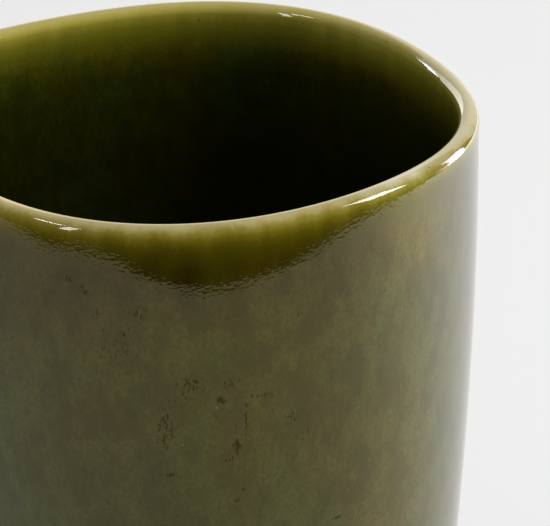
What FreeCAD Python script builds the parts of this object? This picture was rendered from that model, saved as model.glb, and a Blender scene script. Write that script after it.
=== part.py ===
"""Glazed stoneware vase, hand pressed a little out of round, on a turned foot ring.

The fired vase is one rigid body. It is modelled as what it was made from: five pieces of clay that were
joined wet, each with its real joint face, and the five coats of glaze that cover them. Neighbours meet face
to face, so every piece here is a separate closed solid.

Millimetres, +Z up. The origin is the centre of the foot ring's resting face. -Y is the front.

Every piece is a profile of radius against height, swept round an outline. The foot is a true circle. The
outline grows more out of round towards the mouth, and the front wall leans back a little under the lip.
"""

import FreeCAD, Part
import os
from math import cos, pi, radians, sin, sqrt, tan

# Driving sizes.
HEIGHT = 210.0
LIP_RADIUS = 64.5  # mean radius of the lip's crest
LIP_CLAY = 3.9  # thickness of the clay at the lip
LOWER_CLAY = 4.5  # thickness of the clay low on the wall
OUTER_COAT = 0.45
INNER_COAT = 0.35
CREST_COAT = 0.3  # the glaze runs off the crest and thins there

# The outline at the mouth: (number of lobes, height of a lobe as a share of the radius, where one points).
LOBES = (
    (2, 0.040, radians(95)),
    (3, 0.022, radians(44)),
    (4, 0.028, radians(-13)),
)
ROUND_BELOW = 12.0  # the outline is a circle up to here
FULLY_PRESSED = 150.0  # and has its full lobes from here up
LEAN = radians(2.0)  # how far the top of the vase leans back
LEAN_FROM = 150.0

# The wall, from its heel to the lip.
HEEL_RADIUS = 55.5
HEEL_SLOPE = radians(6.0)  # outwards
LIP_SLOPE = radians(1.7)  # inwards
LOWER_SHAPE = 80.0  # heights of the two points that shape the wall's long curve
UPPER_SHAPE = 150.0
LIP_JOINT_OUTSIDE = 200.0
LIP_JOINT_INSIDE = 202.0
RIM_COAT_FROM = 203.0  # the rim's own coat starts here, on both sides

# The foot and the floor.
FOOT_HEIGHT = 3.2
FOOT_TOP = (39.5, 46.5)  # radii, inside and outside
FOOT_REST = (41.4, 44.6)  # radii of the face that it rests on
FOOT_EDGE = 0.9
FLOOR_TOP = 9.2
HEEL_CORNER = 8.0  # radius of the vase's bottom corner
MITRE_AT = radians(45)  # the wall's joint with the base, round that corner from straight down
GLAZE_LINE_AT = radians(55)  # the outer glaze stops here, short of the foot
BEAD = 0.65  # the glaze is thicker along its lower edge
COIL = 5.4  # height of the coil that fills the inside corner
COIL_REACH = 5.0
FLOOR_COAT = 0.8
UNDER_COAT = 0.35
UNDER_COAT_RADIUS = 38.6

SAMPLES = 32  # points round an outline
QUARTERS = 4  # every face that goes round the vase is made in quarters
OUT, UP, IN = radians(90), radians(180), radians(270)  # directions round a corner from straight down


def pressed(height):
    return min(1.0, max(0.0, (height - ROUND_BELOW) / (FULLY_PRESSED - ROUND_BELOW)))


def lean(height):
    return max(0.0, height - LEAN_FROM) * tan(LEAN)


def outline(radius, height):
    """Points round the vase at a profile point."""
    points = []
    for i in range(SAMPLES):
        angle = 2 * pi * i / SAMPLES
        bulge = LIP_RADIUS * sum(share * cos(n * (angle - at)) for n, share, at in LOBES)
        reach = radius + pressed(height) * bulge
        points.append(FreeCAD.Vector(reach * cos(angle), reach * sin(angle) + lean(height), height))
    return points


def outline_quarters(radius, height):
    """The smooth closed curve through an outline's points, as four curves end to end."""
    curve = Part.BSplineCurve()
    steps = [float(i) for i in range(SAMPLES + 1)]
    curve.interpolate(Points=outline(radius, height), PeriodicFlag=True, Parameters=steps)
    quarters = []
    for i in range(QUARTERS):
        quarter = curve.copy()
        quarter.segment(i * SAMPLES / QUARTERS, (i + 1) * SAMPLES / QUARTERS)
        quarters.append(quarter)
    return quarters


def flat_face(*profile_points):
    """The flat face inside the outline at a profile point and, if there is a second, outside that one's."""
    rings = [Part.Wire([q.toShape() for q in outline_quarters(*p)]) for p in sorted(profile_points, reverse=True)]
    face = Part.Face(rings[0])
    return face.cut(Part.Face(rings[1])).Faces[0] if len(rings) > 1 else face


def swept_faces(points, weight):
    """One stretch of profile swept round the vase, in quarters."""
    degree = len(points) - 1
    faces = []
    for rows in zip(*(outline_quarters(*p) for p in points)):
        poles = [list(column) for column in zip(*(row.getPoles() for row in rows))]
        weights = [[1.0] + [weight] * (degree - 1) + [1.0] for _ in poles]
        knots, repeats, ends = rows[0].getKnots(), rows[0].getMultiplicities(), (degree + 1, degree + 1)
        surface = Part.BSplineSurface()
        surface.buildFromPolesMultsKnots(
            poles, repeats, ends, knots, (0, 1), False, False, rows[0].Degree, degree, weights
        )
        faces.append(surface.toShape())
    return faces


def faces_of(span):
    points, weight = span
    level = max(z for _, z in points) - min(z for _, z in points) < 1e-9
    return [flat_face(points[0], points[-1])] if level else swept_faces(points, weight)


# A stretch of profile is (its control points, as (radius, height); the weight of those between its ends).


def line(*points):
    """A straight stretch between two points, or a smooth curve shaped by the points between them."""
    return list(points), 1.0


def corner(centre, radius, start, end):
    """An exact circular arc of profile, between two directions measured round from straight down."""
    half = (end - start) / 2

    def at(angle, reach):
        return centre[0] + reach * sin(angle), centre[1] - reach * cos(angle)

    return [at(start, radius), at(start + half, radius / cos(half)), at(end, radius)], cos(half)


def first(span):
    return span[0][0]


def last(span):
    return span[0][-1]


def moved(span, outwards):
    """The same stretch at another radius."""
    return [(r + outwards, z) for r, z in span[0]], span[1]


def reverse(span):
    return span[0][::-1], span[1]


def solid_from(faces):
    shell = Part.makeShell(faces)
    shell.sewShape()
    solid = Part.makeSolid(shell.Shells[0])
    if solid.Volume < 0:
        solid.reverse()
    assert solid.isValid() and solid.isClosed() and solid.Volume > 0
    return solid


def ring(*spans):
    """A solid ring, from stretches that go once round its cross-section. Straight ones close any gaps."""
    loop = []
    for span, following in zip(spans, spans[1:] + spans[:1]):
        loop.append(span)
        if sqrt(sum((a - b) ** 2 for a, b in zip(last(span), first(following)))) > 1e-6:
            loop.append(line(last(span), first(following)))
    return solid_from([face for span in loop for face in faces_of(span)])


def disc(*spans):
    """A solid that is closed on the axis, from stretches that go up its outside."""
    sides = [face for span in spans for face in faces_of(span)]
    return solid_from([flat_face(first(spans[0])), *sides, flat_face(last(spans[-1]))])


# The heel: an arc that turns from the flat underside up into the wall.
heel_end = OUT - HEEL_SLOPE
heel_centre = (HEEL_RADIUS - HEEL_CORNER * sin(heel_end), FOOT_HEIGHT + HEEL_CORNER)
base_heel = corner(heel_centre, HEEL_CORNER, 0.0, MITRE_AT)
bare_heel = corner(heel_centre, HEEL_CORNER, MITRE_AT, GLAZE_LINE_AT)
coated_heel = corner(heel_centre, HEEL_CORNER, GLAZE_LINE_AT, heel_end)

# The lip: two arcs that meet on the crest.
lip_centre = (LIP_RADIUS, HEIGHT - CREST_COAT - LIP_CLAY / 2)
lip_outside = corner(lip_centre, LIP_CLAY / 2, OUT + LIP_SLOPE, UP)
lip_inside = corner(lip_centre, LIP_CLAY / 2, UP, IN + LIP_SLOPE)


def below_lip(point, height):
    """The point at a height on the straight stretch of wall under one side of the lip."""
    return point[0] + (point[1] - height) * tan(LIP_SLOPE), height


# The wall's two faces, between the heel or the floor and the lip.
outer_joint = below_lip(first(lip_outside), LIP_JOINT_OUTSIDE)
inner_joint = below_lip(last(lip_inside), LIP_JOINT_INSIDE)
heel_top = last(coated_heel)
lower_shape = (heel_top[0] + (LOWER_SHAPE - heel_top[1]) * tan(HEEL_SLOPE), LOWER_SHAPE)
outer_wall = line(heel_top, lower_shape, below_lip(outer_joint, UPPER_SHAPE), outer_joint)
coil_top = (lower_shape[0] - LOWER_CLAY - (LOWER_SHAPE - FLOOR_TOP - COIL) * tan(HEEL_SLOPE), FLOOR_TOP + COIL)
inner_corner = (coil_top[0] - COIL * tan(HEEL_SLOPE), FLOOR_TOP)
inner_shape = (lower_shape[0] - LOWER_CLAY, LOWER_SHAPE)
inner_wall = line(coil_top, inner_shape, below_lip(inner_joint, UPPER_SHAPE), inner_joint)
coil_foot = (inner_corner[0] - COIL_REACH, FLOOR_TOP)
coil_face = ([coil_foot, inner_corner, coil_top], sqrt(0.5))

# The glaze's own faces.
coated_wall = moved(outer_wall, OUTER_COAT)
lined_wall = moved(inner_wall, -INNER_COAT)
lip_coat_radius = (LIP_CLAY + OUTER_COAT + INNER_COAT) / 2
lip_coat_centre = (LIP_RADIUS + (OUTER_COAT - INNER_COAT) / 2, HEIGHT - lip_coat_radius)
lip_coat_outside = corner(lip_coat_centre, lip_coat_radius, OUT + LIP_SLOPE, UP)
lip_coat_inside = corner(lip_coat_centre, lip_coat_radius, UP, IN + LIP_SLOPE)


def foot_ring():
    """Turned on the wheel, so it is a true circle. It is left bare, and it is what the vase stands on."""
    inside_bottom = (FOOT_REST[0] - FOOT_EDGE, FOOT_EDGE)
    outside_bottom = (FOOT_REST[1] + FOOT_EDGE, FOOT_EDGE)
    return ring(
        line((FOOT_REST[0], 0.0), (FOOT_REST[1], 0.0)),
        ([(FOOT_REST[1], 0.0), (outside_bottom[0], 0.0), outside_bottom], sqrt(0.5)),
        line(outside_bottom, (FOOT_TOP[1], FOOT_HEIGHT)),
        line((FOOT_TOP[1], FOOT_HEIGHT), (FOOT_TOP[0], FOOT_HEIGHT)),
        line((FOOT_TOP[0], FOOT_HEIGHT), inside_bottom),
        ([inside_bottom, (inside_bottom[0], 0.0), (FOOT_REST[0], 0.0)], sqrt(0.5)),
    )


def base_slab():
    """The floor. Its edge is bevelled for the wall to sit on, and its lower corner is the vase's heel."""
    return disc(base_heel, line(last(base_heel), inner_corner))


def body_wall():
    """The wall, mitred onto the base below and scarfed under the lip above."""
    return ring(bare_heel, coated_heel, outer_wall, line(outer_joint, inner_joint), reverse(inner_wall),
                line(coil_top, inner_corner))


def corner_coil():
    """The coil of clay pressed into the corner between floor and wall, with its hollow face."""
    return ring(line(coil_foot, inner_corner), line(inner_corner, coil_top), reverse(coil_face))


def rolled_lip():
    """The rounded lip, scarfed onto the wall: its joint is higher on the inside."""
    return ring(line(outer_joint, first(lip_outside)), lip_outside, lip_inside, line(last(lip_inside), inner_joint))


def outer_glaze():
    """The coat on the outside, from its thick edge above the foot up to the rim."""
    bead_top = GLAZE_LINE_AT + radians(4)
    coated_corner = corner(heel_centre, HEEL_CORNER + OUTER_COAT, bead_top + radians(3), heel_end)
    bead_point = corner(heel_centre, HEEL_CORNER + BEAD, GLAZE_LINE_AT, bead_top)
    bead = ([first(coated_heel), first(bead_point), last(bead_point)], sqrt(0.5))
    clay_top = below_lip(first(lip_outside), RIM_COAT_FROM)
    coat_top = below_lip(first(lip_coat_outside), RIM_COAT_FROM)
    wall = [last(coated_corner), *coated_wall[0][1:3], below_lip(first(lip_coat_outside), LIP_JOINT_OUTSIDE)]
    return ring(bead, coated_corner, line(*wall), line(wall[-1], coat_top), line(coat_top, clay_top),
                line(clay_top, outer_joint), reverse(outer_wall), reverse(coated_heel))


def rim_glaze():
    """The coat over the lip, thinnest on the crest."""
    return ring(
        line(below_lip(first(lip_coat_outside), RIM_COAT_FROM), first(lip_coat_outside)),
        lip_coat_outside,
        lip_coat_inside,
        line(last(lip_coat_inside), below_lip(last(lip_coat_inside), RIM_COAT_FROM)),
        line(below_lip(last(lip_coat_inside), RIM_COAT_FROM), below_lip(last(lip_inside), RIM_COAT_FROM)),
        line(below_lip(last(lip_inside), RIM_COAT_FROM), last(lip_inside)),
        reverse(lip_inside),
        reverse(lip_outside),
        line(first(lip_outside), below_lip(first(lip_outside), RIM_COAT_FROM)),
    )


def inner_glaze():
    """The liner on the inside of the wall, from the coil up to the rim."""
    clay_top = below_lip(last(lip_inside), RIM_COAT_FROM)
    coat_top = below_lip(last(lip_coat_inside), RIM_COAT_FROM)
    wall = [*lined_wall[0][:3], below_lip(last(lip_coat_inside), LIP_JOINT_INSIDE)]
    return ring(inner_wall, line(inner_joint, clay_top), line(clay_top, coat_top), line(coat_top, wall[-1]),
                reverse(line(*wall)))


def floor_glaze():
    """The liner on the floor. It ran down before it set, so it is deeper here and rounds up the coil."""
    wall_point = first(lined_wall)
    flat_edge = (coil_foot[0], FLOOR_TOP + FLOOR_COAT)
    turn = (wall_point[0] - (wall_point[1] - flat_edge[1]) * tan(HEEL_SLOPE), flat_edge[1])
    return disc(coil_face, line(coil_top, wall_point), ([wall_point, turn, flat_edge], sqrt(0.5)))


def underside_glaze():
    """The thin coat inside the foot ring."""
    edge = UNDER_COAT_RADIUS - UNDER_COAT
    return disc(
        ([(edge, FOOT_HEIGHT - UNDER_COAT), (UNDER_COAT_RADIUS, FOOT_HEIGHT - UNDER_COAT),
          (UNDER_COAT_RADIUS, FOOT_HEIGHT)], sqrt(0.5)),
    )


PIECES = (foot_ring, base_slab, corner_coil, body_wall, rolled_lip, outer_glaze, rim_glaze, inner_glaze,
          floor_glaze, underside_glaze)

os.makedirs("parts", exist_ok=True)
for piece in PIECES:
    solid = piece()
    solid.exportStep(f"parts/{piece.__name__}.step")
    print(f"{piece.__name__:16} {solid.Volume / 1000:8.2f} cm3  {len(solid.Faces)} faces")
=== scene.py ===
"""Looks for the glazed stoneware vase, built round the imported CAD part.

The clay and the coats of glaze are swept from the same stretches of profile as the part, with what a CAD
surface leaves out: the soft ripples of a thrown wall, the wavering lower edge of the glaze, and the turning
marks on the bare foot. Profiles are in millimetres, and meshes are in metres. A stretch of profile is a pair:
its control points, as (radius, height), and the weight of those between its ends.
"""

from math import comb, cos, exp, pi, radians, sin, sqrt, tan

import bpy
import numpy as np
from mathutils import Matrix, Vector


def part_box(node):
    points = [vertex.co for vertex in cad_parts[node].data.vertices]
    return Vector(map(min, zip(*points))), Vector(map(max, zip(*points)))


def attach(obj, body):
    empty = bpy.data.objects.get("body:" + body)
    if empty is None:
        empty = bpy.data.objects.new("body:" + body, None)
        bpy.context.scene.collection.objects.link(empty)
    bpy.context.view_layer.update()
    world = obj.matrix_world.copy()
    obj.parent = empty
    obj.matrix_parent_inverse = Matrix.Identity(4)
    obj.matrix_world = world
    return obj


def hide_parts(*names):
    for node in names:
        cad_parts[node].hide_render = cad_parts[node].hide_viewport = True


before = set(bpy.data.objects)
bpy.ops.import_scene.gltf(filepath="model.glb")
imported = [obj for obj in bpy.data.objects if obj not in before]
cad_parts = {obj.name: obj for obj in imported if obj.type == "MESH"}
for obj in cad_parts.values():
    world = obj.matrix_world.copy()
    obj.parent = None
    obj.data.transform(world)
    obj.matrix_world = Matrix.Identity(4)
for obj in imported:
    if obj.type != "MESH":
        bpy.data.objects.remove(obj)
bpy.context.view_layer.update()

MM = 0.001
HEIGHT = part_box("rim_glaze")[1].z / MM

# ---------------------------------------------------------------- the part's own sizes
LIP_RADIUS, LIP_CLAY, LOWER_CLAY = 64.5, 3.9, 4.5
OUTER_COAT, INNER_COAT, CREST_COAT = 0.45, 0.35, 0.3
LOBES = ((2, 0.040, radians(95)), (3, 0.022, radians(44)), (4, 0.028, radians(-13)))
ROUND_BELOW, FULLY_PRESSED = 12.0, 150.0
LEAN, LEAN_FROM = radians(2.0), 150.0
HEEL_RADIUS, HEEL_SLOPE, LIP_SLOPE = 55.5, radians(6.0), radians(1.7)
LOWER_SHAPE, UPPER_SHAPE = 80.0, 150.0
LIP_JOINT_OUTSIDE, LIP_JOINT_INSIDE, RIM_COAT_FROM = 200.0, 202.0, 203.0
FOOT_HEIGHT, FOOT_TOP, FOOT_REST, FOOT_EDGE = 3.2, (39.5, 46.5), (41.4, 44.6), 0.9
FLOOR_TOP, HEEL_CORNER = 9.2, 8.0
MITRE_AT, GLAZE_LINE_AT, BEAD = radians(45), radians(55), 0.65
COIL, COIL_REACH, FLOOR_COAT = 5.4, 5.0, 0.8
UNDER_COAT, UNDER_COAT_RADIUS = 0.35, 38.6
OUT, UP, IN = radians(90), radians(180), radians(270)
QUARTER_TURN = sqrt(0.5)  # the weight that makes a quarter turn round

AROUND = 384  # steps round the vase
angle = np.linspace(0, 2 * pi, AROUND, endpoint=False)
bulge = LIP_RADIUS * sum(share * np.cos(n * (angle - at)) for n, share, at in LOBES)


# ---------------------------------------------------------------- profiles, and the surfaces they sweep
def line(*points):
    return list(points), 1.0


def corner(centre, radius, start, end):
    """An arc of profile, between two directions measured round from straight down."""
    half = (end - start) / 2

    def at(direction, reach):
        return centre[0] + reach * sin(direction), centre[1] - reach * cos(direction)

    return [at(start, radius), at(start + half, radius / cos(half)), at(end, radius)], cos(half)


def reverse(stretch):
    return stretch[0][::-1], stretch[1]


def moved(stretch, outwards):
    return [(r + outwards, z) for r, z in stretch[0]], stretch[1]


def first(stretch):
    return stretch[0][0]


def last(stretch):
    return stretch[0][-1]


def ring(radius, height):
    """The outline at one profile point: a circle low down, and out of round and leaning back at the mouth."""
    pressed = min(1.0, max(0.0, (height - ROUND_BELOW) / (FULLY_PRESSED - ROUND_BELOW)))
    lean = max(0.0, height - LEAN_FROM) * tan(LEAN)
    reach = radius + pressed * bulge
    level = np.full(AROUND, float(height))
    return np.stack([reach * np.cos(angle), reach * np.sin(angle) + lean, level], -1)


def sweep(stretch, rows=2):
    """A stretch swept round the vase, as points (rows, AROUND, 3): the surface that the part has there."""
    points, weight = stretch
    degree, t = len(points) - 1, np.linspace(0, 1, rows)
    weights = [1.0] + [weight] * (degree - 1) + [1.0]
    shares = np.array([comb(degree, i) * t ** i * (1 - t) ** (degree - i) * w for i, w in enumerate(weights)])
    return np.einsum("pt,pac->tac", shares / shares.sum(0), np.array([ring(*p) for p in points]))


def below_lip(point, height):
    return point[0] + (point[1] - height) * tan(LIP_SLOPE), height


heel_end = OUT - HEEL_SLOPE
heel_centre = (HEEL_RADIUS - HEEL_CORNER * sin(heel_end), FOOT_HEIGHT + HEEL_CORNER)
base_heel = corner(heel_centre, HEEL_CORNER, 0.0, MITRE_AT)
bare_heel = corner(heel_centre, HEEL_CORNER, MITRE_AT, GLAZE_LINE_AT)
coated_heel = corner(heel_centre, HEEL_CORNER, GLAZE_LINE_AT, heel_end)
lip_centre = (LIP_RADIUS, HEIGHT - CREST_COAT - LIP_CLAY / 2)
lip_outside = corner(lip_centre, LIP_CLAY / 2, OUT + LIP_SLOPE, UP)
lip_inside = corner(lip_centre, LIP_CLAY / 2, UP, IN + LIP_SLOPE)
outer_joint = below_lip(first(lip_outside), LIP_JOINT_OUTSIDE)
inner_joint = below_lip(last(lip_inside), LIP_JOINT_INSIDE)
heel_top = last(coated_heel)
lower_shape = (heel_top[0] + (LOWER_SHAPE - heel_top[1]) * tan(HEEL_SLOPE), LOWER_SHAPE)
outer_wall = line(heel_top, lower_shape, below_lip(outer_joint, UPPER_SHAPE), outer_joint)
inner_shape = (lower_shape[0] - LOWER_CLAY, LOWER_SHAPE)
coil_top = (inner_shape[0] - (LOWER_SHAPE - FLOOR_TOP - COIL) * tan(HEEL_SLOPE), FLOOR_TOP + COIL)
inner_corner = (coil_top[0] - COIL * tan(HEEL_SLOPE), FLOOR_TOP)
inner_wall = line(coil_top, inner_shape, below_lip(inner_joint, UPPER_SHAPE), inner_joint)
coil_foot = (inner_corner[0] - COIL_REACH, FLOOR_TOP)
coil_face = ([coil_foot, inner_corner, coil_top], QUARTER_TURN)
lined_wall = moved(inner_wall, -INNER_COAT)
coat_radius = (LIP_CLAY + OUTER_COAT + INNER_COAT) / 2
coat_centre = (LIP_RADIUS + (OUTER_COAT - INNER_COAT) / 2, HEIGHT - coat_radius)
coat_outside = corner(coat_centre, coat_radius, OUT + LIP_SLOPE, UP)
coat_inside = corner(coat_centre, coat_radius, UP, IN + LIP_SLOPE)


# ---------------------------------------------------------------- unevenness
def ripples(seed, along, waves, around, per_mm):
    """Smooth noise on the vase's surface, about -1 to 1, from waves of up to `around` to a turn and `per_mm`
    to a millimetre of the profile."""
    rng = np.random.default_rng(seed)
    total = np.zeros((len(along), AROUND))
    for _ in range(waves):
        n, k = rng.integers(0, around + 1), rng.uniform(-per_mm, per_mm)
        total += rng.normal() * np.cos(n * angle + 2 * pi * k * along[:, None] + rng.uniform(0, 2 * pi))
    return total / waves ** 0.5 / 1.4


GLAZE_LINE_RISE = radians(11)  # how far round the heel the glaze's edge wavers
once_round = np.zeros(1)
slow, quick = ripples(21, once_round, 9, 11, 0.0)[0], ripples(22, once_round, 12, 40, 0.0)[0]
wander = GLAZE_LINE_RISE * np.clip(0.5 + 0.5 * slow + 0.12 * quick, 0, 1.1)


def wavering(grid):
    """A swept stretch of the heel's glaze, with the glaze's lower edge moved up by a wavering amount."""
    radius, height = np.hypot(grid[..., 0], grid[..., 1]) - heel_centre[0], heel_centre[1] - grid[..., 2]
    reach, turn = np.hypot(radius, height), np.arctan2(radius, height)
    turn = turn + wander * np.clip((heel_end - turn) / (heel_end - GLAZE_LINE_AT), 0, 1)
    radius, height = heel_centre[0] + reach * np.sin(turn), heel_centre[1] - reach * np.cos(turn)
    return np.stack([radius * np.cos(angle), radius * np.sin(angle), height], -1)


def lengths(grid):
    """How far along the profile each row is, in mm."""
    return np.r_[0, np.cumsum(np.linalg.norm(np.diff(grid, axis=0), axis=-1).mean(1))]


def normals_of(grid):
    """Unit normals that face outwards, for rows that go up the outside and down the inside."""
    normals = np.cross(np.roll(grid, -1, 1) - np.roll(grid, 1, 1), np.gradient(grid, axis=0))
    return normals / np.linalg.norm(normals, axis=-1, keepdims=True)


GROOVES = (0.8, 1.3, 2.3)  # mm between the turning tool's marks
GROOVE_ENDS = 0.5  # mm at each end of a turned stretch where the marks fade out


def turned(grid, depth, seed):
    """The stretch with a turning tool's grooves cut into it, up to about `depth` deep."""
    along = lengths(grid)
    rng = np.random.default_rng(seed)
    groove = sum(rng.uniform(0.4, 1) * np.cos(2 * pi * along / w + rng.uniform(0, 6)) for w in GROOVES)
    cut = depth * (groove / 4.5 - 0.6)[:, None] * (0.8 + 0.2 * ripples(seed, along, 12, 7, 0.1))
    ends = np.clip(np.minimum(along, along[-1] - along) / GROOVE_ENDS, 0, 1)[:, None]
    return grid + normals_of(grid) * (cut * ends)[..., None]


# ---------------------------------------------------------------- meshes
FAR_FROM_CREST = 60.0  # mm, for surfaces whose glaze doesn't change with height


def piece_of(name, node, material, stretches, closed_on_axis=False):
    """A closed piece from stretches that go once round its cross-section, or up its outside if it is closed
    on the axis. A stretch is a grid, or (grid, its normals, its rows' distances from the crest). Each is
    smooth, and the edges between them are sharp unless their normals run on."""
    rows, faces, normals, crest = [], [], [], []

    def bridge(low, high):
        faces.append(len(rows) - 1)
        normals.append(normals_of(np.stack([low, high])))

    for stretch in stretches:
        if not isinstance(stretch, tuple):
            stretch = (stretch, normals_of(stretch), [FAR_FROM_CREST] * len(stretch))
        grid, own, distance = stretch
        joins = bool(rows) and np.allclose(rows[-1], grid[0], atol=1e-6)
        if rows and not joins:
            bridge(rows[-1], grid[0])
        start = len(rows) - joins
        rows += list(grid[int(joins):])
        crest += list(distance[int(joins):])
        faces += range(start, start + len(grid) - 1)
        normals += [own[k:k + 2] for k in range(len(grid) - 1)]
    if not closed_on_axis:
        if np.allclose(rows[-1], rows[0], atol=1e-6):
            rows.pop()
            crest.pop()
        else:
            bridge(rows[-1], rows[0])

    here = np.arange(AROUND)
    there = (here + 1) % AROUND
    polygons, corner_normals = [], []
    for low, pair in zip(faces, normals):
        high = (low + 1) % len(rows)
        low, high = low * AROUND, high * AROUND
        polygons += np.stack([low + here, low + there, high + there, high + here], -1).tolist()
        corner_normals.append(np.stack([pair[0], pair[0][there], pair[1][there], pair[1]], 1).reshape(-1, 3))
    points, crest = np.concatenate(rows), np.repeat(crest, AROUND)
    if closed_on_axis:
        for row, up in ((0, -1.0), (len(rows) - 1, 1.0)):
            fan = np.stack([row * AROUND + here, row * AROUND + there, np.full(AROUND, len(points))], -1)
            polygons += (fan if up > 0 else fan[:, ::-1]).tolist()
            corner_normals.append(np.tile([0.0, 0.0, up], (AROUND * 3, 1)))
            points = np.concatenate([points, [[0.0, 0.0, rows[row][:, 2].mean()]]])
            crest = np.append(crest, crest[row * AROUND])

    mesh = bpy.data.meshes.new(name)
    mesh.from_pydata((points * MM).tolist(), [], polygons)
    mesh.polygons.foreach_set("use_smooth", np.ones(len(mesh.polygons), bool))
    mesh.normals_split_custom_set(np.concatenate(corner_normals).tolist())
    mesh.attributes.new("from_crest", "FLOAT", "POINT").data.foreach_set("value", crest.astype(np.float32))
    mesh.materials.append(material)
    piece = bpy.data.objects.new(name, mesh)
    bpy.context.scene.collection.objects.link(piece)
    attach(piece, "root")
    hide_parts(node)


# ---------------------------------------------------------------- materials
class Nodes:
    """Short ways to write a material's nodes."""

    def __init__(self, name):
        self.material = bpy.data.materials.new(name)
        self.material.use_nodes = True
        self.tree = self.material.node_tree
        self.shader = next(n for n in self.tree.nodes if n.type == "BSDF_PRINCIPLED")
        self.place = self.node("ShaderNodeTexCoord").outputs["Object"]

    def node(self, kind, **settings):
        n = self.tree.nodes.new(kind)
        for key, value in settings.items():
            setattr(n, key, value)
        return n

    def plug(self, socket, value):
        if isinstance(value, bpy.types.NodeSocket):
            self.tree.links.new(value, socket)
        elif socket.type == "RGBA" and len(value) == 3:
            socket.default_value = (*value, 1)
        else:
            socket.default_value = value

    def mapped(self, scale, shift):
        m = self.node("ShaderNodeMapping")
        self.plug(m.inputs["Vector"], self.place)
        m.inputs["Scale"].default_value = scale
        m.inputs["Location"].default_value = shift
        return m.outputs["Vector"]

    def noise(self, size_mm, stretch=(1, 1, 1), detail=3.0, roughness=0.55, distortion=0.0, seed=0.0):
        n = self.node("ShaderNodeTexNoise")
        where = self.mapped([1 / (size_mm * MM) / s for s in stretch], (seed, seed * 1.7, seed * 2.3))
        self.plug(n.inputs["Vector"], where)
        n.inputs["Scale"].default_value = 1.0
        n.inputs["Detail"].default_value = detail
        n.inputs["Roughness"].default_value = roughness
        n.inputs["Distortion"].default_value = distortion
        return n.outputs["Fac"]

    def spots(self, spacing_mm, size, seed=0.0, softness=0.05):
        """1 in round spots, one to a cell, of a size given as a share of their spacing."""
        v = self.node("ShaderNodeTexVoronoi")
        v.inputs["Scale"].default_value = 1.0
        where = self.mapped([1 / (spacing_mm * MM)] * 3, (seed, seed * 1.3, seed * 1.9))
        self.plug(v.inputs["Vector"], where)
        return self.ramp(v.outputs["Distance"], size + softness, size - softness)

    def ramp(self, value, low, high, to_low=0.0, to_high=1.0):
        """A smooth step, from one figure at `low` to another at `high`."""
        r = self.node("ShaderNodeMapRange", interpolation_type="SMOOTHSTEP")
        self.plug(r.inputs["Value"], value)
        for key, v in (("From Min", low), ("From Max", high), ("To Min", to_low), ("To Max", to_high)):
            r.inputs[key].default_value = v
        return r.outputs["Result"]

    def bands(self, value, stops):
        """A colour for each value, between stops of (value, colour)."""
        low, high = stops[0][0], stops[-1][0]
        r = self.node("ShaderNodeMapRange")
        self.plug(r.inputs["Value"], value)
        r.inputs["From Min"].default_value, r.inputs["From Max"].default_value = low, high
        c = self.node("ShaderNodeValToRGB")
        elements = c.color_ramp.elements
        for at, colour in stops[1:-1]:
            elements.new((at - low) / (high - low)).color = (*colour, 1)
        elements[0].color, elements[-1].color = (*stops[0][1], 1), (*stops[-1][1], 1)
        self.plug(c.inputs["Fac"], r.outputs["Result"])
        return c.outputs["Color"]

    def math(self, kind, a, b=0.0):
        m = self.node("ShaderNodeMath", operation=kind)
        self.plug(m.inputs[0], a)
        self.plug(m.inputs[1], b)
        return m.outputs[0]

    def mix(self, share, a, b, blend="MIX"):
        m = self.node("ShaderNodeMix", data_type="RGBA", blend_type=blend)
        self.plug(m.inputs["Factor"], share)
        self.plug(m.inputs[6], a)
        self.plug(m.inputs[7], b)
        return m.outputs[2]

    def near(self, at_mm, reach_mm, edge):
        """1 round a point, up to a share `edge` of the reach, and 0 beyond the reach. The reach is (sideways,
        up), or one figure for both."""
        across, up = reach_mm if isinstance(reach_mm, tuple) else (reach_mm, reach_mm)
        d = self.node("ShaderNodeVectorMath", operation="SUBTRACT")
        self.plug(d.inputs[0], self.place)
        d.inputs[1].default_value = [c * MM for c in at_mm]
        s = self.node("ShaderNodeVectorMath", operation="MULTIPLY")
        self.plug(s.inputs[0], d.outputs["Vector"])
        s.inputs[1].default_value = (1 / (across * MM), 1 / (across * MM), 1 / (up * MM))
        length = self.node("ShaderNodeVectorMath", operation="LENGTH")
        self.plug(length.inputs[0], s.outputs["Vector"])
        return self.ramp(length.outputs["Value"], 1.0, edge)

    def any_of(self, shares):
        total = shares[0]
        for share in shares[1:]:
            total = self.math("MAXIMUM", total, share)
        return total

    def attribute(self, name):
        return self.node("ShaderNodeAttribute", attribute_name=name).outputs["Fac"]

    def bump(self, height, depth_mm, below=None):
        b = self.node("ShaderNodeBump")
        b.inputs["Strength"].default_value = 1.0
        b.inputs["Distance"].default_value = depth_mm * MM
        self.plug(b.inputs["Height"], height)
        if below:
            self.plug(b.inputs["Normal"], below)
        return b.outputs["Normal"]


BANDS_WITH_INSIDE_SHADE = (  # mm from the crest, inside below zero and outside above it, and the glaze's colour there. Inside, the colour darkening to nearly black with depth is painted shade
    (-120.0, (0.020, 0.022, 0.001)), (-75.0, (0.012, 0.013, 0.0006)), (-40.0, (0.009, 0.010, 0.0005)),
    (-25.0, (0.013, 0.015, 0.0007)), (-18.0, (0.019, 0.023, 0.001)), (-13.0, (0.038, 0.041, 0.002)),
    (-9.0, (0.087, 0.083, 0.005)), (-6.0, (0.150, 0.137, 0.010)), (-3.5, (0.30, 0.26, 0.030)),
    (-1.5, (0.38, 0.32, 0.090)), (0.0, (0.42, 0.36, 0.19)), (1.2, (0.35, 0.29, 0.12)),
    (2.2, (0.22, 0.175, 0.030)), (3.7, (0.125, 0.098, 0.006)), (5.2, (0.067, 0.053, 0.002)),
    (7.0, (0.043, 0.034, 0.001)), (10.0, (0.030, 0.0235, 0.0008)), (14.0, (0.028, 0.0225, 0.0008)),
    (24.0, (0.036, 0.032, 0.001)), (60.0, (0.036, 0.033, 0.001)),
)
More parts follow.
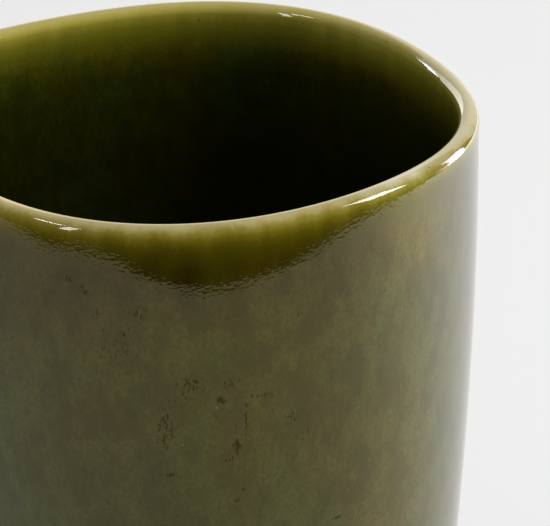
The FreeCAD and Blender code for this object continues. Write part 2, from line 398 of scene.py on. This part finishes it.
ZONE_EDGE = 8.0  # mm over which a zone comes in, with distance from the crest
ZONES_OF_TONE_AND_PAINTED_LIGHT = (  # paler or darker glaze: centre, reach, change of colour, and mm from the crest to its start. Some are the glaze's own tone; the paler zones on the right of the wall and along the crest are painted light and reflection
    # painted light: the right of the wall made paler where light falls on it
    ((51, -41, 150), (28, 150), (1.7, 1.7, 1.4), 6),
    ((-2, -70, 128), (42, 60), (0.6, 0.85, 1.0), 6),
    ((-45, -50, 160), (40, 120), (0.98, 1.3, 1.2), 6),
    # painted light and reflection on the crest and just below it
    ((51, -41, 199), (22, 16), (2.0, 2.0, 2.0), 2),
    ((48, -44, 209), (18, 14), (1.4, 1.5, 2.2), -8),
    ((-34, -56, 208), (22, 14), (1.35, 1.35, 1.45), -8),
    # the glaze's own darker smudge under the lip
    ((4.2, -70, 199.5), (4.5, 8), (0.6, 0.5, 0.5), -8),
    # painted reflection along the far crest
    ((40, 48, 205), (44, 10), (1.65, 1.65, 2.2), -3),
)


PATCH, DASH = (0.38, 0.62), (0.44, 0.62)  # the levels of noise over which each comes in


def glaze(name):
    """Glossy olive glaze. Its depth shows as its colour: tan where it thins on the crest, dark lower down on
    the outside. Inside, its darkening with depth is painted shade, and some of its paler zones are painted
    light and reflection.
    """
    n = Nodes(name)
    crest = n.attribute("from_crest")
    from_either_side = n.math("ABSOLUTE", crest)
    runs = n.noise(5, (1, 1, 6), detail=3)
    fine = n.noise(0.8, (1, 1, 1.4), detail=3, roughness=0.65, seed=8)
    reach = n.math("ADD", crest, n.ramp(runs, 0.3, 0.7, -0.4, 0.4))
    reach = n.math("ADD", reach, n.ramp(fine, 0.3, 0.7, -0.15, 0.15))
    # colour by distance from the crest, with painted shade darkening the inside with depth
    colour = n.bands(reach, BANDS_WITH_INSIDE_SHADE)
    lower = n.ramp(from_either_side, 6.0, 14.0)
    cloud = n.noise(22, (1, 1, 1.4), detail=5, roughness=0.68, distortion=0.3)
    patch = n.noise(6.0, (1, 1, 1.5), detail=5, roughness=0.72, seed=4)
    dash = n.noise(0.6, (1, 1, 1.7), detail=3, roughness=0.75, seed=11)
    tint = n.mix(n.ramp(cloud, 0.38, 0.60), (0.84, 1.06, 1.9), (1.16, 0.98, 0.7))
    tint = n.mix(n.ramp(patch, *PATCH), tint, n.mix(1.0, tint, (0.66, 0.61, 0.8), "MULTIPLY"))
    between_dashes = n.mix(1.0, tint, (1.22, 1.22, 1.12), "MULTIPLY")
    tint = n.mix(n.ramp(dash, *DASH, 0, 0.75), between_dashes, (0.76, 0.74, 0.74))
    colour = n.mix(lower, colour, n.mix(1.0, colour, tint, "MULTIPLY"))
    # paler or darker zones: the glaze's own tone, and painted light on the right of the wall and along the
    # crest
    for at, reach_mm, change, start in ZONES_OF_TONE_AND_PAINTED_LIGHT:
        begun = n.ramp(from_either_side, start, start + ZONE_EDGE)
        colour = n.mix(n.math("MULTIPLY", n.near(at, reach_mm, 0.0), begun), colour, change, "MULTIPLY")
    colour, shine = marked(n, colour, lower)
    n.plug(n.shader.inputs["Base Color"], colour)
    sheen = n.math("ADD", n.ramp(patch, *PATCH, 0.03, -0.03), n.ramp(dash, *DASH, 0.02, -0.02))
    n.plug(n.shader.inputs["Specular IOR Level"], n.math("MULTIPLY", n.math("ADD", sheen, 0.5), shine))

    # the skin of the glaze: a fine orange peel on a slight swell
    peel = n.noise(0.85, (1, 1, 0.65), detail=1.0, roughness=0.4, seed=2)
    swell = n.noise(7, detail=1, seed=5)
    n.plug(n.shader.inputs["Normal"], n.bump(swell, 0.003, n.bump(peel, 0.0038)))
    n.shader.inputs["IOR"].default_value = 1.5
    n.shader.inputs["Specular Tint"].default_value = (1.0, 0.92, 0.58, 1)
    n.plug(n.shader.inputs["Roughness"], n.ramp(cloud, 0.3, 0.8, 0.015, 0.04))
    return n.material


def marked(n, colour, lower):
    """The colour with the glaze's own blemishes: brown stains, dark marks, iron specks and a few pale pinholes.
    With it comes the share of its shine that the glaze keeps there."""
    dash = n.noise(0.5, (1, 1, 2.2), detail=3, roughness=0.75, seed=31)
    mottle = n.ramp(n.noise(0.9, (1, 1, 2.2), detail=4, roughness=0.75, seed=17), 0.40, 0.58, 0.25, 1.0)
    for at, reach, share in STAINS:
        stain = n.math("MULTIPLY", n.math("MULTIPLY", n.near(at, reach, 0.0), mottle), share)
        colour = n.mix(stain, colour, (0.034, 0.019, 0.0003))
    clusters = [n.math("MULTIPLY", n.near(at, reach, 0.1), share) for at, reach, share in CLUSTERS]
    level = n.math("ADD", dash, n.math("MULTIPLY", n.any_of(clusters), 0.27))
    marks = n.math("MULTIPLY", n.ramp(level, 0.63, 0.72, 0, 0.8), lower)
    colour = n.mix(marks, colour, (0.013, 0.0105, 0.0007))
    iron = n.spots(8.0, 0.03, seed=7, softness=0.012)
    colour = n.mix(n.math("MULTIPLY", iron, 0.6), colour, (0.012, 0.010, 0.003))
    pale = n.any_of([n.near(at, reach, 0.5) for at, reach in PINHOLES])
    shine = n.math("SUBTRACT", 1.0, n.math("MULTIPLY", marks, 0.7))
    return n.mix(pale, colour, (0.085, 0.078, 0.045)), shine


STAINS = (  # centre, reach sideways and up, and strength
    ((11.8, -69.0, 176.1), (5.1, 5.1), 0.75), ((13.3, -68.5, 165.4), (4.7, 8.6), 0.6),
    ((10.1, -69.2, 159.7), (2.8, 2.6), 0.9), ((-0.8, -70.6, 165.4), (3.9, 11.8), 0.45),
    ((4.0, -70.3, 178.1), (5.8, 6.4), 0.35), ((-2.9, -69.7, 203.4), (3.1, 2.9), 0.6),
    ((1.8, -69.6, 205.8), (4.9, 3.3), 0.4), ((-9.4, -69.7, 186.9), (8.5, 10.5), 0.25),
)
CLUSTERS = (  # where dark marks crowd together: centre, reach sideways and up, and strength
    ((13.1, -68.5, 162.7), (1.8, 3.0), 1.0), ((11.5, -68.9, 160.7), (2.0, 1.7), 0.7),
    ((14.9, -68.0, 168.9), (0.4, 6.0), 1.0), ((10.2, -69.4, 173.6), (1.8, 1.5), 1.0),
    ((12.2, -68.9, 176.9), (3.1, 3.0), 0.5), ((18.0, -67.0, 173.3), (3.9, 0.9), 0.7),
    ((-1.0, -70.7, 167.7), (2.9, 9.4), 0.5), ((0.2, -70.4, 157.4), (3.6, 3.0), 0.5),
    ((4.0, -70.3, 177.4), (5.1, 5.9), 0.5), ((-5.4, -70.1, 192.8), (3.5, 3.3), 0.5),
    ((-19.3, -66.3, 198.7), (1.9, 1.9), 0.5), ((-16.2, -67.6, 196.3), (1.9, 1.9), 0.5),
    ((-13.8, -68.6, 191.9), (1.5, 2.7), 0.45), ((-9.8, -69.7, 185.8), (6.2, 8.4), 0.28),
    ((24.0, -64.2, 166.9), (2.8, 3.0), 0.45), ((26.6, -62.7, 162.3), (2.4, 3.0), 0.4),
    ((25.5, -63.2, 189.1), (1.0, 0.9), 0.8), ((33.4, -57.4, 140.3), (2.5, 0.7), 0.8),
    ((14.2, -67.9, 152.6), (0.6, 0.7), 1.0), ((34.4, -57.2, 189.6), (6.7, 6.4), 0.2),
    ((12.8, -68.2, 149.4), (1.2, 2.6), 0.5),
)
PINHOLES = (  # centre and radius
    ((-7.1, -70.1, 183.2), 0.28), ((9.2, -69.6, 172.0), 0.3), ((38.9, -53.1, 141.2), 0.32),
    ((43.4, -49.8, 171.5), 0.28), ((48.0, -44.3, 141.4), 0.35), ((2.5, -70.5, 164.2), 0.25),
)


def fired_clay(name):
    """Bare stoneware: warm buff with iron specks and fine grit."""
    n = Nodes(name)
    broad = n.noise(18, detail=4)
    grit = n.noise(0.55, detail=2, seed=3)
    base = n.mix(n.ramp(broad, 0.35, 0.65), (0.235, 0.155, 0.095), (0.31, 0.225, 0.15))
    base = n.mix(n.ramp(grit, 0.55, 0.75), base, (0.17, 0.105, 0.06))
    # the clay flashes toasted brown where it meets the glaze
    height = n.node("ShaderNodeSeparateXYZ")
    n.plug(height.inputs[0], n.place)
    base = n.mix(n.ramp(height.outputs["Z"], 4.5 * MM, 8.5 * MM, 0, 0.8), base, (0.13, 0.055, 0.02))
    base = n.mix(n.spots(2.3, 0.10, seed=5), base, (0.05, 0.03, 0.02))
    n.plug(n.shader.inputs["Base Color"], base)
    n.shader.inputs["Roughness"].default_value = 0.85
    n.plug(n.shader.inputs["Normal"], n.bump(grit, 0.05))
    return n.material


olive_glaze = glaze("olive_glaze")
clay = fired_clay("bare_stoneware")

# ---------------------------------------------------------------- the glazed surface, as one skin
BEAD_SPAN, BEAD_BLEND = radians(4), radians(3)
bead_top = GLAZE_LINE_AT + BEAD_SPAN
bead_point = corner(heel_centre, HEEL_CORNER + BEAD, GLAZE_LINE_AT, bead_top)
bead = ([first(coated_heel), first(bead_point), last(bead_point)], QUARTER_TURN)
coated_corner = corner(heel_centre, HEEL_CORNER + OUTER_COAT, bead_top + BEAD_BLEND, heel_end)
coat_out_200 = below_lip(first(coat_outside), LIP_JOINT_OUTSIDE)
coat_out_203 = below_lip(first(coat_outside), RIM_COAT_FROM)
coat_in_203 = below_lip(last(coat_inside), RIM_COAT_FROM)
coat_in_202 = below_lip(last(coat_inside), LIP_JOINT_INSIDE)
wall_out = line(last(coated_corner), *moved(outer_wall, OUTER_COAT)[0][1:3], coat_out_200)
wall_in = reverse(line(*lined_wall[0][:3], coat_in_202))
flat_edge = (coil_foot[0], FLOOR_TOP + FLOOR_COAT)
turn_point = (coil_top[0] - INNER_COAT - (coil_top[1] - flat_edge[1]) * tan(HEEL_SLOPE), flat_edge[1])
AXIS = 0.6  # the last row of a surface that closes on the axis


def run_on(*grids):
    """One grid from several in a row, with each shared row once."""
    rest = [g[1:] if np.allclose(g[0], before[-1]) else g for before, g in zip(grids, grids[1:])]
    return np.concatenate([grids[0]] + rest)


skins = {
    "outside": run_on(wavering(sweep(bead, 8)),
                      wavering(sweep(line(last(bead_point), first(coated_corner)), 3)),
                      wavering(sweep(coated_corner, 9)), sweep(wall_out, 150),
                      sweep(line(coat_out_200, coat_out_203), 4)),
    "rim": run_on(sweep(line(coat_out_203, first(coat_outside)), 8), sweep(coat_outside, 19),
                  sweep(coat_inside, 19), sweep(line(last(coat_inside), coat_in_203), 8)),
    "inside": run_on(sweep(line(coat_in_203, coat_in_202), 3), sweep(wall_in, 110)),
    "floor": run_on(sweep(([last(wall_in), turn_point, flat_edge], QUARTER_TURN), 14),
                    sweep(line(flat_edge, (AXIS, flat_edge[1])), 40)),
}
whole = run_on(*skins.values())
along = lengths(whole)
from_crest = along[int(np.argmax(whole[..., 2].mean(1)))] - along  # inside it is below zero

# the surface lies a little below the part's, in mm, by an amount that ripples and dies away at the edges
SUNK, BROAD_RIPPLE, FINE_RIPPLE, OUTSIDE_SHARE = 0.16, 0.055, 0.010, 0.7
dip = BROAD_RIPPLE * ripples(11, along, 40, 9, 0.006) + FINE_RIPPLE * ripples(12, along, 60, 26, 0.03)
dip = (dip - SUNK) * np.where(from_crest < 0, 1.0, OUTSIDE_SHARE)[:, None]
FROM_LINE, FROM_AXIS, FROM_CREST, CREST_SHARE = 8.0, 20, 14, 0.12  # mm over which it comes in
calm = np.clip((along - 1.0) / FROM_LINE, 0, 1) * np.clip((along[-1] - along) / FROM_AXIS, 0, 1)
calm = calm * np.clip(np.abs(from_crest) / FROM_CREST, CREST_SHARE, 1)
whole = whole + normals_of(whole) * (dip * calm[:, None])[..., None]
whole_normals = normals_of(whole)

clay_out_203 = below_lip(first(lip_outside), RIM_COAT_FROM)
clay_in_203 = below_lip(last(lip_inside), RIM_COAT_FROM)
back_of = {  # each coat's face on the clay
    "outside": [sweep(line(clay_out_203, outer_joint)), sweep(reverse(outer_wall), 40),
                wavering(sweep(reverse(coated_heel), 9))],
    "rim": [sweep(line(clay_in_203, last(lip_inside))), sweep(reverse(lip_inside), 9),
            sweep(reverse(lip_outside), 9), sweep(line(first(lip_outside), clay_out_203))],
    "inside": [sweep(inner_wall, 40), sweep(line(inner_joint, clay_in_203))],
    "floor": [sweep(coil_face, 12)],
}
nodes_of = {"outside": "outer_glaze", "rim": "rim_glaze", "inside": "inner_glaze", "floor": "floor_glaze"}
start = 0
for name, skin in skins.items():
    rows = slice(start, start + len(skin))
    start += len(skin) - 1
    shown = (whole[rows], whole_normals[rows], from_crest[rows])
    stretches = [*back_of[name], shown] if name == "floor" else [shown, *back_of[name]]
    piece_of("glaze_" + name, nodes_of[name], olive_glaze, stretches, name == "floor")

# ---------------------------------------------------------------- the clay
TOOL_MARK, WORN_MARK = 0.09, 0.03  # mm deep
inside_bottom, outside_bottom = (FOOT_REST[0] - FOOT_EDGE, FOOT_EDGE), (FOOT_REST[1] + FOOT_EDGE, FOOT_EDGE)
piece_of("clay_foot_ring", "foot_ring", clay, [
    turned(sweep(line((FOOT_REST[0], 0.0), (FOOT_REST[1], 0.0)), 12), WORN_MARK, 41),
    sweep(([(FOOT_REST[1], 0.0), (outside_bottom[0], 0.0), outside_bottom], QUARTER_TURN), 7),
    turned(sweep(line(outside_bottom, (FOOT_TOP[1], FOOT_HEIGHT)), 12), TOOL_MARK, 42),
    sweep(line((FOOT_TOP[1], FOOT_HEIGHT), (FOOT_TOP[0], FOOT_HEIGHT))),
    turned(sweep(line((FOOT_TOP[0], FOOT_HEIGHT), inside_bottom), 12), TOOL_MARK, 43),
    sweep(([inside_bottom, (inside_bottom[0], 0.0), (FOOT_REST[0], 0.0)], QUARTER_TURN), 7),
])
piece_of("clay_base", "base_slab", clay,
         [turned(sweep(base_heel, 30), TOOL_MARK, 44), sweep(line(last(base_heel), inner_corner))], True)
piece_of("clay_wall", "body_wall", clay, [
    turned(sweep(bare_heel, 9), TOOL_MARK, 45), sweep(coated_heel, 24), sweep(outer_wall, 40),
    sweep(line(outer_joint, inner_joint)), sweep(reverse(inner_wall), 40),
    sweep(line(coil_top, inner_corner)),
])
under_face = FOOT_HEIGHT - UNDER_COAT
under_edge = (UNDER_COAT_RADIUS - UNDER_COAT, under_face)
under_round = [under_edge, (UNDER_COAT_RADIUS, under_face), (UNDER_COAT_RADIUS, FOOT_HEIGHT)]
piece_of("glaze_underside", "underside_glaze", olive_glaze, [
    sweep(line((AXIS, under_face), under_edge), 40), sweep((under_round, QUARTER_TURN), 6),
], True)
for node in ("rolled_lip", "corner_coil"):
    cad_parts[node].data.materials.clear()
    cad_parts[node].data.materials.append(clay)

# ---------------------------------------------------------------- the stage
TABLE_EDGE = 5.0  # m
TABLE_STEPS = 120
LIT_EDGE, FRONT_LEFT_MORE, RIGHT_MORE = 0.636, 0.062, 0.016  # m, to the edge of the lit table in front
BEHIND, FADE = radians(14), radians(14)  # from here round the back, the table is lit to its edge
WHITE = (1, 1, 1)
COOL = (0.62, 0.67, 1.0)  # lamps that the tinted glaze reflects as white
KEY_SIDE, FAR_SIDE = (70, 35), (-72, 36)  # directions and widths, in degrees from +Y towards +X
KEY_FROM, KEY_GAIN, FAR_LOSS = 0.06, 2.6, 0.5  # m, per m, and a share
SHADOW_CLOSE_IN, FAR_OUT = (0.045, 0.13), (0.70, 0.72)  # m over which the reflected table brightens out of the vase's painted shadow, and over which it fades
TABLE_GLOW = 0.95


def paint(n):
    tone = n.mix(n.noise(400, detail=2), (0.80, 0.80, 0.797), (0.82, 0.82, 0.817))
    n.plug(n.shader.inputs["Base Color"], tone)
    n.shader.inputs["Roughness"].default_value = 0.9
    n.shader.inputs["Specular IOR Level"].default_value = 0.1


def glow(n):
    """Painted light: the lit table as the glaze reflects it, given as glow, brighter on the key's side, dimmer
    on the other, and darkened close in by the vase's painted shadow.
    """
    parts = n.node("ShaderNodeSeparateXYZ")
    n.plug(parts.inputs[0], n.place)
    towards = n.math("ARCTAN2", parts.outputs["X"], parts.outputs["Y"])
    reach = n.node("ShaderNodeVectorMath", operation="LENGTH")
    n.plug(reach.inputs[0], n.place)
    reach = reach.outputs["Value"]

    def lobe(centre, width):
        off = n.math("DIVIDE", n.math("SUBTRACT", towards, radians(centre)), radians(width))
        return n.math("EXPONENT", n.math("MULTIPLY", n.math("MULTIPLY", off, off), -1.0))

    outwards = n.math("MULTIPLY", n.math("SUBTRACT", reach, KEY_FROM), KEY_GAIN)
    key_side = n.math("MULTIPLY", lobe(*KEY_SIDE), outwards)
    far_side = n.math("MULTIPLY", lobe(*FAR_SIDE), FAR_LOSS)
    level = n.math("ADD", 1.0, n.math("SUBTRACT", key_side, far_side))
    # painted shadow of the vase on the reflected table, close in
    level = n.math("MULTIPLY", level, n.ramp(reach, *SHADOW_CLOSE_IN, 0.4, 1.0))
    sideways = n.ramp(n.math("ABSOLUTE", towards), pi / 2 - BEHIND - FADE, pi / 2 - BEHIND)
    beyond = n.ramp(reach, *FAR_OUT)  # the table out there fades in towards the back
    level = n.math("MULTIPLY", level, n.math("SUBTRACT", 1.0, n.math("MULTIPLY", sideways, beyond)))
    n.shader.inputs["Base Color"].default_value = (0, 0, 0, 1)
    n.shader.inputs["Specular IOR Level"].default_value = 0.0
    n.shader.inputs["Emission Color"].default_value = (1, 1, 0.99, 1)
    n.plug(n.shader.inputs["Emission Strength"], n.math("MULTIPLY", level, TABLE_GLOW))


def table(name, finish, height, reaches):
    """A part of the table, between two reaches for each direction round the vase."""
    points, polygons = [], []
    for k in range(TABLE_STEPS):
        turn, following = 2 * pi * k / TABLE_STEPS, (k + 1) % TABLE_STEPS
        points += [(reach * cos(turn), reach * sin(turn), height) for reach in reaches(turn)]
        polygons.append((2 * k, 2 * k + 1, 2 * following + 1, 2 * following))
    mesh = bpy.data.meshes.new(name)
    mesh.from_pydata(points, [], polygons)
    piece = bpy.data.objects.new(name, mesh)
    bpy.context.scene.collection.objects.link(piece)
    n = Nodes(name + "_finish")
    finish(n)
    mesh.materials.append(n.material)
    return piece


top = table("table", paint, 0.0, lambda turn: (0.001, TABLE_EDGE))
top.visible_glossy = False


def lit_reach(turn):
    """How far the lit table reaches in one direction, measured round from +X."""
    if BEHIND < turn < pi - BEHIND:
        return TABLE_EDGE
    front_left = exp(-(((turn - radians(242)) / radians(30)) ** 2))
    right = exp(-((((turn + pi) % (2 * pi) - pi + radians(20)) / radians(24)) ** 2))
    return LIT_EDGE + FRONT_LEFT_MORE * front_left + RIGHT_MORE * right


reflected = table("table_reflected", glow, -0.001, lambda turn: (0.001, lit_reach(turn)))
reflected.visible_camera = reflected.visible_diffuse = reflected.visible_shadow = False
reflected.visible_transmission = reflected.visible_volume_scatter = False

SOFT_LIGHT = 0.50
world = bpy.data.worlds.new("studio")
bpy.context.scene.world = world
world.use_nodes = True
world.node_tree.nodes["Background"].inputs["Color"].default_value = (1, 1, 1, 1)
world.node_tree.nodes["Background"].inputs["Strength"].default_value = SOFT_LIGHT
world.cycles_visibility.glossy = False


def panel(name, azimuth, elevation, wide, tall, radiance, distance=1.3, shows="glossy", colour=COOL):
    """A light panel that faces the mouth. Azimuth is from +Y towards +X, and its size is in degrees as seen
    from there. It shows only in reflections, or only as soft light."""
    a, e = radians(azimuth), radians(elevation)
    away = np.array([sin(a) * cos(e), cos(a) * cos(e), sin(e)])
    data = bpy.data.lights.new(name, "AREA")
    data.shape = "RECTANGLE"
    data.size, data.size_y = (2 * distance * tan(radians(s / 2)) for s in (wide, tall))
    data.energy = radiance * pi * data.size * data.size_y
    data.color = colour
    lamp = bpy.data.objects.new(name, data)
    lamp.location = away * distance + (0, 0, HEIGHT * MM)
    lamp.rotation_euler = Vector(away).to_track_quat("Z", "Y").to_euler()
    lamp.visible_camera = False
    lamp.visible_glossy, lamp.visible_diffuse = shows == "glossy", shows == "diffuse"
    bpy.context.scene.collection.objects.link(lamp)


panel("soft_key", 103, 42, 28, 28, 12, distance=5.0, shows="diffuse", colour=WHITE)
panel("backdrop", 0, 16, 84, 37, 1.3, distance=1.5, colour=WHITE)
panel("back_left", -27, 10, 28, 24, 2.2, colour=WHITE)
panel("key_right", 91, 27, 14, 19, 26)
panel("right_back", 62, 4, 13, 28, 13, distance=0.6)
panel("left", -113, 38, 14, 5, 30)
panel("left_front", -131, 22, 6, 26, 18)
panel("left_back", -45, 13, 6, 15, 16)

# ---------------------------------------------------------------- the camera
CAMERA_AT, LOOKS_DOWN, LENS_MM, SENSOR_MM = (0.0206, -0.4925, 0.3932), 24.2, 159.05, 36
camera = bpy.data.objects.new("camera", bpy.data.cameras.new("camera"))
bpy.context.scene.collection.objects.link(camera)
camera.location = CAMERA_AT
camera.rotation_euler = (radians(90 - LOOKS_DOWN), 0, 0)
camera.data.sensor_width = SENSOR_MM
camera.data.lens = LENS_MM
bpy.context.scene.camera = camera
bpy.context.scene.view_settings.view_transform = "Standard"
